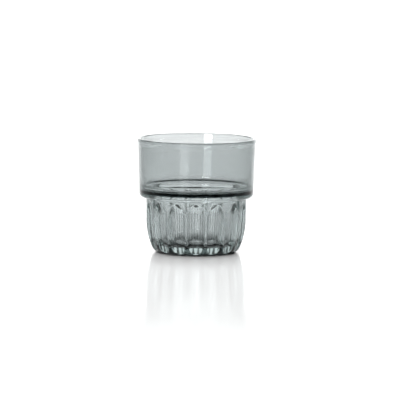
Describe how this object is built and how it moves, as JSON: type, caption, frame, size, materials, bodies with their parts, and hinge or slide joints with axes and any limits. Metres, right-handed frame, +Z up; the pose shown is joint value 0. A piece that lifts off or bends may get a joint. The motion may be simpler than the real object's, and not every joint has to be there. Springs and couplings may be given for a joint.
{
  "type": "whiskey tumbler",
  "caption": "Stacking whiskey tumbler in smoke-grey pressed glass: plain upper band, rounded shoulder, and a fluted lower body with scooped panels.",
  "frame": {"origin": "centre of the resting ring, on the surface the glass stands on", "axes": "+Z up along the glass's axis; -Y is the front, where one flute is centred; +X to the right"},
  "size_m": [0.086, 0.086, 0.0825],
  "materials": {
    "smoke_glass": "polished"
  },
  "bodies": {
    "root": {"glass_body": "smoke_glass"}
  },
  "joints": []
}
